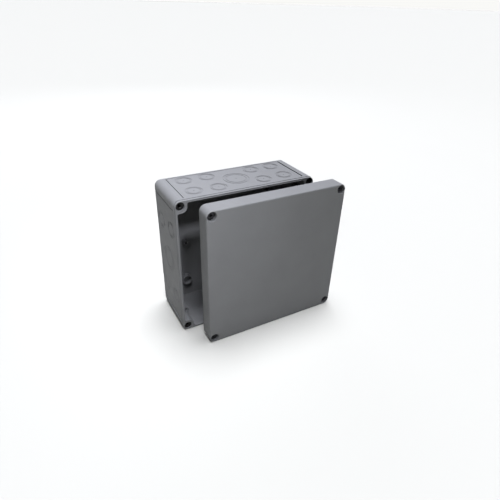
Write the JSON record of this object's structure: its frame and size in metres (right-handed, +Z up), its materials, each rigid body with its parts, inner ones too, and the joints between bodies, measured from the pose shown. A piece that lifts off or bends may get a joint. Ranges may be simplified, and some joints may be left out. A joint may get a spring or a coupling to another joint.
{
  "type": "electrical junction box",
  "caption": "Square wall-mounting plastic junction box with knock-out cable entries on its sides and a deep lid held by captive corner screws, the lid standing off the open base.",
  "frame": {"origin": "middle of the base's flat back face, where the pattern of four wall-fixing holes is centred", "axes": "+Z up the wall, +X to the right seen from the front, +Y through the back face into the wall; the open front faces -Y"},
  "size_m": [0.203, 0.1072, 0.18],
  "materials": {
    "moulded_plastic": "fine satin, moulded mid grey",
    "seal_foam": "dark foamed sealing strip",
    "screw_black": "satin steel with a black zinc coat",
    "seal_rubber": "black rubber",
    "insert_steel": "darkened steel, grooved",
    "cap_plastic": "soft light grey plastic"
  },
  "bodies": {
    "base": {"base_box": "moulded_plastic", "thread_insert_top_left": "insert_steel", "thread_insert_top_right": "insert_steel", "thread_insert_bottom_left": "insert_steel", "thread_insert_bottom_right": "insert_steel", "fixing_cap_top_left": "cap_plastic", "fixing_cap_top_right": "cap_plastic", "fixing_cap_bottom_left": "cap_plastic", "fixing_cap_bottom_right": "cap_plastic"},
    "lid": {"lid": "moulded_plastic", "lid_gasket": "seal_foam"},
    "seal_top_left": {"screw_seal_top_left": "seal_rubber"},
    "screw_top_left": {"lid_screw_top_left": "screw_black"},
    "seal_top_right": {"screw_seal_top_right": "seal_rubber"},
    "screw_top_right": {"lid_screw_top_right": "screw_black"},
    "seal_bottom_left": {"screw_seal_bottom_left": "seal_rubber"},
    "screw_bottom_left": {"lid_screw_bottom_left": "screw_black"},
    "seal_bottom_right": {"screw_seal_bottom_right": "seal_rubber"},
    "screw_bottom_right": {"lid_screw_bottom_right": "screw_black"}
  },
  "joints": [
    {"name": "lid_slide", "type": "slide", "parent": "base", "child": "lid", "axis": [-0.7736, 0.6336, 0], "range_m": [-0.12, 0.02714]},
    {"name": "screw_advance_top_left", "type": "slide", "parent": "lid", "child": "seal_top_left", "axis": [0, 1, 0], "range_m": [0, 0.007]},
    {"name": "screw_turn_top_left", "type": "hinge", "parent": "seal_top_left", "child": "screw_top_left", "pos_m": [-0.0635, -0.1, 0.0835], "axis": [0, 1, 0], "range_deg": [0, 3600]},
    {"name": "screw_advance_top_right", "type": "slide", "parent": "lid", "child": "seal_top_right", "axis": [0, 1, 0], "range_m": [0, 0.007]},
    {"name": "screw_turn_top_right", "type": "hinge", "parent": "seal_top_right", "child": "screw_top_right", "pos_m": [0.1055, -0.1, 0.0835], "axis": [0, 1, 0], "range_deg": [0, 3600]},
    {"name": "screw_advance_bottom_left", "type": "slide", "parent": "lid", "child": "seal_bottom_left", "axis": [0, 1, 0], "range_m": [0, 0.007]},
    {"name": "screw_turn_bottom_left", "type": "hinge", "parent": "seal_bottom_left", "child": "screw_bottom_left", "pos_m": [-0.0635, -0.1, -0.0835], "axis": [0, 1, 0], "range_deg": [0, 3600]},
    {"name": "screw_advance_bottom_right", "type": "slide", "parent": "lid", "child": "seal_bottom_right", "axis": [0, 1, 0], "range_m": [0, 0.007]},
    {"name": "screw_turn_bottom_right", "type": "hinge", "parent": "seal_bottom_right", "child": "screw_bottom_right", "pos_m": [0.1055, -0.1, -0.0835], "axis": [0, 1, 0], "range_deg": [0, 3600]}
  ],
  "couplings": [
    {"joint": "screw_turn_top_left", "follows": "screw_advance_top_left", "rad_per_m": 8976},
    {"joint": "screw_turn_top_right", "follows": "screw_advance_top_right", "rad_per_m": 8976},
    {"joint": "screw_turn_bottom_left", "follows": "screw_advance_bottom_left", "rad_per_m": 8976},
    {"joint": "screw_turn_bottom_right", "follows": "screw_advance_bottom_right", "rad_per_m": 8976}
  ]
}
